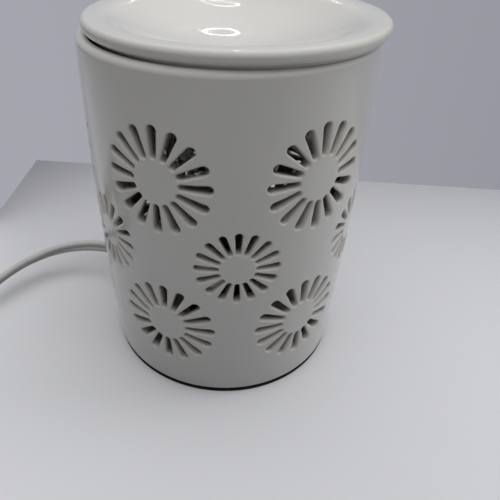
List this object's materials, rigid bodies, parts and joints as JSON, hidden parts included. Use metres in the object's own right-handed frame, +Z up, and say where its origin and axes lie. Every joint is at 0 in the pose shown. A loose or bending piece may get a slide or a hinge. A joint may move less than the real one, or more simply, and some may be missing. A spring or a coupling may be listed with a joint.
{
  "type": "wax melt warmer",
  "caption": "Round glazed ceramic wax melt warmer with flower cut-outs, a lift-off wax dish, a lamp inside and a flat cord with in-line switch and plug.",
  "frame": {"origin": "on the ceramic shell's axis, at the face of the rubber pad that stands on the table", "axes": "+Z up along the shell's axis, -Y towards the side seen first, so the cord leaves at the left rear, -X and +Y"},
  "size_m": [0.3373, 0.1253, 0.1538],
  "materials": {
    "glaze": "glossy ivory glaze",
    "rubber_pad": "matte black rubber",
    "painted_plate": "black painted steel",
    "zinc_steel": "zinc plated steel",
    "holder_moulding": "black phenolic moulding",
    "brass": "plain brass",
    "cap_metal": "bright aluminium",
    "cap_insulator": "black vitrified insulator",
    "clear_glass": "clear glass",
    "lamp_wire": "tungsten and nickel wire",
    "cord_white": "soft white vinyl",
    "switch_white": "hard white plastic"
  },
  "bodies": {
    "warmer": {"ceramic_body": "glaze", "base_pad": "rubber_pad", "base_plate": "painted_plate", "clamp_screws": "zinc_steel", "clamp_nuts": "zinc_steel", "lamp_bracket": "zinc_steel", "holder_nipple": "zinc_steel", "nipple_nut": "zinc_steel", "lamp_holder": "holder_moulding", "terminal_screws": "brass", "screw_shell": "brass", "centre_contact": "brass", "cord_gland": "cord_white", "inner_cord": "cord_white", "lead_upper": "cord_white", "lead_lower": "cord_white", "cord_tube": "cord_white", "switch_cover": "switch_white", "switch_base": "switch_white", "switch_screws": "zinc_steel", "cord_link": "cord_white", "cord_coil": "cord_white", "cord_tail": "cord_white", "plug_body": "cord_white", "plug_blades": "brass"},
    "dish": {"wax_dish": "glaze"},
    "lamp_lift": {"bulb_glass": "clear_glass"},
    "lamp_turn": {"bulb_cap": "cap_metal", "bulb_insulator": "cap_insulator", "bulb_contact": "cap_metal", "bulb_stem": "clear_glass", "filament_supports": "lamp_wire", "bulb_filament": "lamp_wire"},
    "wheel": {"switch_wheel": "switch_white"}
  },
  "joints": [
    {"name": "dish_lift", "type": "slide", "parent": "warmer", "child": "dish", "axis": [0, 0, 1], "range_m": [0, 0.06]},
    {"name": "lamp_rise", "type": "slide", "parent": "warmer", "child": "lamp_lift", "axis": [0, 0, 1], "range_m": [0, 0.00908]},
    {"name": "lamp_unscrew", "type": "hinge", "parent": "lamp_lift", "child": "lamp_turn", "pos_m": [0, 0, 0.05], "axis": [0, 0, 1], "range_deg": [0, 900]},
    {"name": "switch_wheel_spin", "type": "hinge", "parent": "warmer", "child": "wheel", "pos_m": [-0.1621, -0.03489, 0.0085], "axis": [0, 0, 1], "continuous": true}
  ],
  "couplings": [
    {"joint": "lamp_rise", "follows": "lamp_unscrew", "m_per_rad": 0.00057757}
  ]
}
